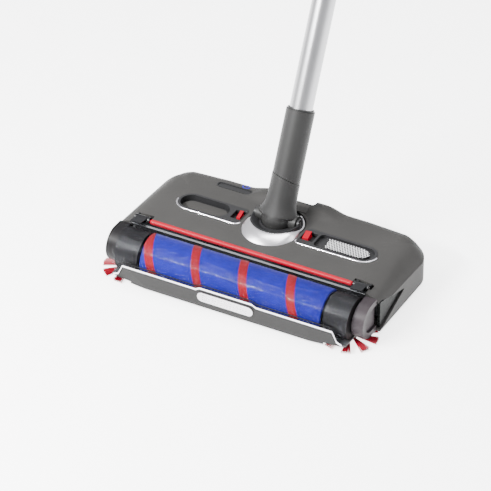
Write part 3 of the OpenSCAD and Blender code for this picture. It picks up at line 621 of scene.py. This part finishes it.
def vent_grille():
    """Woven grille under the right insert: two sets of thin wires, crossing."""
    outline = [(75, -18.0), (119, -18.0), (127.5, -14.5), (131, -8.5), (127.5, -2.5), (119, 1.0), (72.5, 1.0)]
    wires, first_x, wire_pitch, run, half_wire, wire_rise = 32, 46, 3.6, 13, 0.45, 0.7
    verts, faces = [], []
    for slant, level in ((1, 56.9), (-1, 57.3)):
        for i in range(wires):
            x = first_x + i * wire_pitch
            piece = clip(outline, (x - slant * run, -30), (x + slant * run, 12))
            if not piece:
                continue
            (ax, ay), (bx, by) = piece
            along = Vector((bx - ax, by - ay)).normalized()
            bar(verts, faces, [(ax, ay, level), (bx, by, level)], (-along.y * half_wire, along.x * half_wire),
                wire_rise)
    grille = add_object("grille_wires", verts, faces, "silver_plastic", "sweeper_body", 80, WIRE_TONE)
    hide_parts("vent_mesh")
    verts, faces = prism(rounded(outline, (2, 3, 3, 3, 3, 3, 2)), on_z, (54.0, 56.2))
    add_object("grille_backing", verts, faces, "dark_plastic", "sweeper_body")


def vent_bezel():
    """Dark frame of the right insert, with the slider track and the sunken field round the grille."""
    verts, faces = prism(insert_outline(139.8, 38.8, INSERT_HW - 0.2), on_z, (50.2, 58.5))
    frame_ring = add_object("vent_frame", verts, faces, "dark_plastic", "sweeper_body")
    carve(frame_ring, [box_at((40.1, INSERT_Y - 8, 53), (57.1, INSERT_Y + 10, 70)),
                       prism(insert_outline(136.6, 60, INSERT_HW - 3.4), on_z, (53.9, 70))])
    bevel(frame_ring, 0.5)
    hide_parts("vent_bezel")


def rim_beads():
    """Bright beads round the front half of both inserts."""
    for name, outline in (("left", insert_outline(-132, -40, INSERT_HW + 1)),
                          ("right", insert_outline(141, 37.6, INSERT_HW + 1))):
        path = sorted([p for p in outline if p[1] < INSERT_Y + 1], key=lambda p: (
            math.atan2(p[1] - INSERT_Y - 6, (p[0] - sum(q[0] for q in outline) / len(outline)))))
        rings = []
        for i, point in enumerate(path):
            ahead, behind = path[min(i + 1, len(path) - 1)], path[max(i - 1, 0)]
            along = Vector((ahead[0] - behind[0], ahead[1] - behind[1])).normalized()
            rings.append([(point[0] + 1.15 * math.cos(a) * along.y, point[1] - 1.15 * math.cos(a) * along.x,
                           58.0 + 1.15 * math.sin(a)) for a in [2 * math.pi * k / 12 for k in range(12)]])
        verts, faces = loft(rings)
        bead = add_object("insert_bead_" + name, verts, faces, "chrome_trim", "sweeper_body", 60)
        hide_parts("insert_rims")


def collar():
    """Bright collar: a full rounded crescent in front, running out low at the back."""
    shift, flange = 15.5, 36.0
    spokes = [2 * math.pi * i / 120 for i in range(120)]
    reach = [max(34.4, -shift * math.sin(a) + math.sqrt(flange ** 2 - (shift * math.cos(a)) ** 2)) for a in spokes]
    rings = [[(far * math.cos(a), far * math.sin(a), 57.7) for a, far in zip(spokes, reach)]]
    for k in range(13):
        u = k / 12
        ring = []
        for a, far in zip(spokes, reach):
            out = far + (32.8 - far) * u
            y = out * math.sin(a)
            top = 58.5 + 6.8 * (1 - smoothstep(-24, 6, y))
            ring.append((out * math.cos(a), y, 57.75 + (top - 57.75) * math.sin(math.pi / 2 * u) ** 0.85))
        rings.append(ring)
    rim = rings[-1]
    rings.append([(x * 0.985, y * 0.985, z - 0.3) for x, y, z in rim])
    rings.append([(x, y, 55.4) for x, y in circle(0, 0, 32.2, 120)])
    rings.append([(x, y, 55.4) for x, y in circle(0, 0, 34.3, 120)])
    verts, faces = loft(rings, loop=True)
    ring = add_object("collar_ring", verts, faces, SLOT_OF["hub_collar"], "sweeper_body", 40, COLLAR_TONE)
    # The back is open where the neck leans over it
    carve(ring, [box_at((-19.2, 26.9, 50), (19.2, 40, 70))], 40)
    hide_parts("hub_collar")


def power_mark():
    """Ring and bar of the power symbol, lying on the top face."""
    cx, cy = -70.7, 53.0
    def on_top(x, y, rise):
        t = 0.58 + 0.42 * (1 - abs(x) / (HALF_WIDTH - CORNER))
        return (x, y, housing_height(x, y, t, REAR - y) + rise)
    for name, strip in (("ring", [(circle(cx, cy, r, 49, 125, 290)) for r in (3.5, 5.1)]),
                        ("bar", [[(cx + side, cy + 0.5 * k) for k in range(13)] for side in (-0.75, 0.75)])):
        rings = []
        for (ax, ay), (bx, by) in zip(*strip):
            rings.append([on_top(ax, ay, 0.05), on_top(bx, by, 0.05), on_top(bx, by, 0.4), on_top(ax, ay, 0.4)])
        verts, faces = loft(rings)
        mark = add_object("power_" + name, verts, faces, "violet_print", "sweeper_body")
        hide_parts("power_light")


# ---------- neck ----------

PIVOT_Y, PIVOT_Z, LEAN, PIN_BORE_R = 3.0, 64.0, 25.0, 3.15
TRUNNION_R, TRUNNION_SPAN = 9, (18, 27)
# Height on the neck axis, half width, front half depth
NECK = [(-19.9, 2, 2), (-19, 6.2, 6.2), (-17, 10.5, 10.5), (-14, 14.3, 14.3), (-10, 17.3, 17.3), (-6, 19.1, 19.1),
        (-2, 19.9, 19.9), (1.8, 20.0, 19.9), (3.0, 25.0, 19.8), (5, 26.4, 19.6), (8, 25.2, 19.4), (12, 22.9, 19.1),
        (16, 20.8, 18.9), (21, 19.4, 18.7), (28, 18.7, 18.5), (38, 18.4, 18.4), (75, 18.4, 18.4)]
SEAM_H, SEAM_BACK, SEAM_SIDE = 50.0, math.tan(math.radians(8)), math.tan(math.radians(14))


def leaned(x, y, h):
    c, s = math.cos(math.radians(LEAN)), math.sin(math.radians(LEAN))
    return (x, PIVOT_Y + y * c + h * s, PIVOT_Z - y * s + h * c)


def neck_section(width, depth, h):
    points = []
    for i in range(96):
        a = 2 * math.pi * i / 96
        if math.sin(a) <= 0:
            x, y = width * math.cos(a), depth * math.sin(a)
        else:
            round_r = min(width, depth, 18.4) if h > 2 else min(width, depth)
            x = math.cos(a) * (round_r + (width - round_r) * abs(math.cos(a)) ** 10)
            y = min(round_r * math.sin(a), 13.9 if h < 38 else 13.9 + (h - 38) * 0.9)
        points.append((x, y, h))
    return points


def neck():
    rings = []
    for h, width, depth in NECK:
        ring = neck_section(width, depth, min(h, 55))
        if h > 38:
            t = (h - 38) / (75 - 38)
            ring = [(x, y, 38 + (SEAM_H - x * SEAM_SIDE - y * SEAM_BACK - 38) * t) for x, y, z in ring]
        rings.append([leaned(*q) for q in ring])
    verts, faces = loft(rings)
    pin_bore = prism(circle(PIVOT_Y, PIVOT_Z, PIN_BORE_R, 48), on_x, (-50, 50))
    bell = add_object("neck_bell", verts, faces, SLOT_OF["neck"], "handle", 50)
    carve(bell, [pin_bore], 50)
    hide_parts("neck")
    for side in (-1, 1):
        rings = [[leaned(side * x, TRUNNION_R * math.cos(a), TRUNNION_R * math.sin(a))
                  for a in [2 * math.pi * i / 48 for i in range(48)]] for x in TRUNNION_SPAN]
        verts, faces = loft(rings)
        name = "neck_trunnion_%s" % ("left" if side < 0 else "right")
        carve(add_object(name, verts, faces, SLOT_OF["neck"], "handle"), [pin_bore])


def cup_plate():
    """Raised grey floor inside the finger hollow."""
    outline = bar_outline(-126.5, -64.5, INSERT_Y, 12.0)
    verts, faces = prism(outline, on_z, (50.02, 51.4))
    obj = add_object("finger_cup_floor", verts, faces, "housing_grey", "sweeper_body")
    bevel(obj, 0.6)


housing()
clear_cover()
roller()
side_brush_tufts()
vent_grille()
vent_bezel()
rim_beads()
collar()
power_mark()
neck()
cup_plate()


# ---------- stage ----------

def area_light(name, at, aim, size, power):
    data = bpy.data.lights.new(name, "AREA")
    data.shape = "RECTANGLE"
    data.size, data.size_y = size
    data.energy = power
    obj = bpy.data.objects.new(name, data)
    bpy.context.scene.collection.objects.link(obj)
    obj.location = at
    obj.rotation_euler = (Vector(aim) - Vector(at)).to_track_quat("-Z", "Y").to_euler()


def floor():
    mesh = bpy.data.meshes.new("floor")
    reach = 6.0
    mesh.from_pydata([(-reach, -reach, 0), (reach, -reach, 0), (reach, reach, 0), (-reach, reach, 0)], [],
                     [(0, 1, 2, 3)])
    obj = bpy.data.objects.new("floor", mesh)
    bpy.context.scene.collection.objects.link(obj)
    white = surface("floor_white", (0.9, 0.9, 0.9), 0.6, grain=0.0, vary=0.01)
    glow = white.node_tree.nodes["Principled BSDF"]
    glow.inputs["Emission Color"].default_value = (1, 1, 1, 1)
    glow.inputs["Emission Strength"].default_value = 3.0
    obj.data.materials.append(white)


def camera():
    azimuth, elevation = math.radians(28.5), math.radians(34.5)
    right = Vector((math.cos(azimuth), math.sin(azimuth), 0))
    up = Vector((-math.sin(azimuth) * math.sin(elevation), math.cos(azimuth) * math.sin(elevation),
                 math.cos(elevation)))
    back = right.cross(up)
    target = Vector((0, 0, 0.05)) - 0.038 * right - 0.0209 * up
    distance, view_width, sensor = 4.0, 0.5988, 36
    data = bpy.data.cameras.new("camera")
    data.sensor_width = sensor
    data.lens = sensor * distance / view_width
    data.clip_end = 50
    obj = bpy.data.objects.new("camera", data)
    bpy.context.scene.collection.objects.link(obj)
    obj.matrix_world = Matrix.Translation(target + distance * back) @ Matrix(
        (right, up, back)).transposed().to_4x4()
    bpy.context.scene.camera = obj


floor()
area_light("key", (-1.1, -0.9, 1.7), (0, 0, 0.05), (1.2, 1.2), 62)
area_light("top", (0.1, 0.5, 1.9), (0, 0, 0), (1.6, 1.0), 46)
area_light("rim", (1.6, 0.7, 1.0), (0, 0, 0.1), (0.8, 1.2), 8)
area_light("strip", (-0.55, -1.0, 0.87), (-0.03, -0.12, 0.045), (0.75, 0.07), 60)
world = bpy.data.worlds.new("studio")
world.use_nodes = True
world.node_tree.nodes["Background"].inputs["Color"].default_value = (0.95, 0.96, 0.98, 1)
world.node_tree.nodes["Background"].inputs["Strength"].default_value = 0.95
bpy.context.scene.world = world
camera()
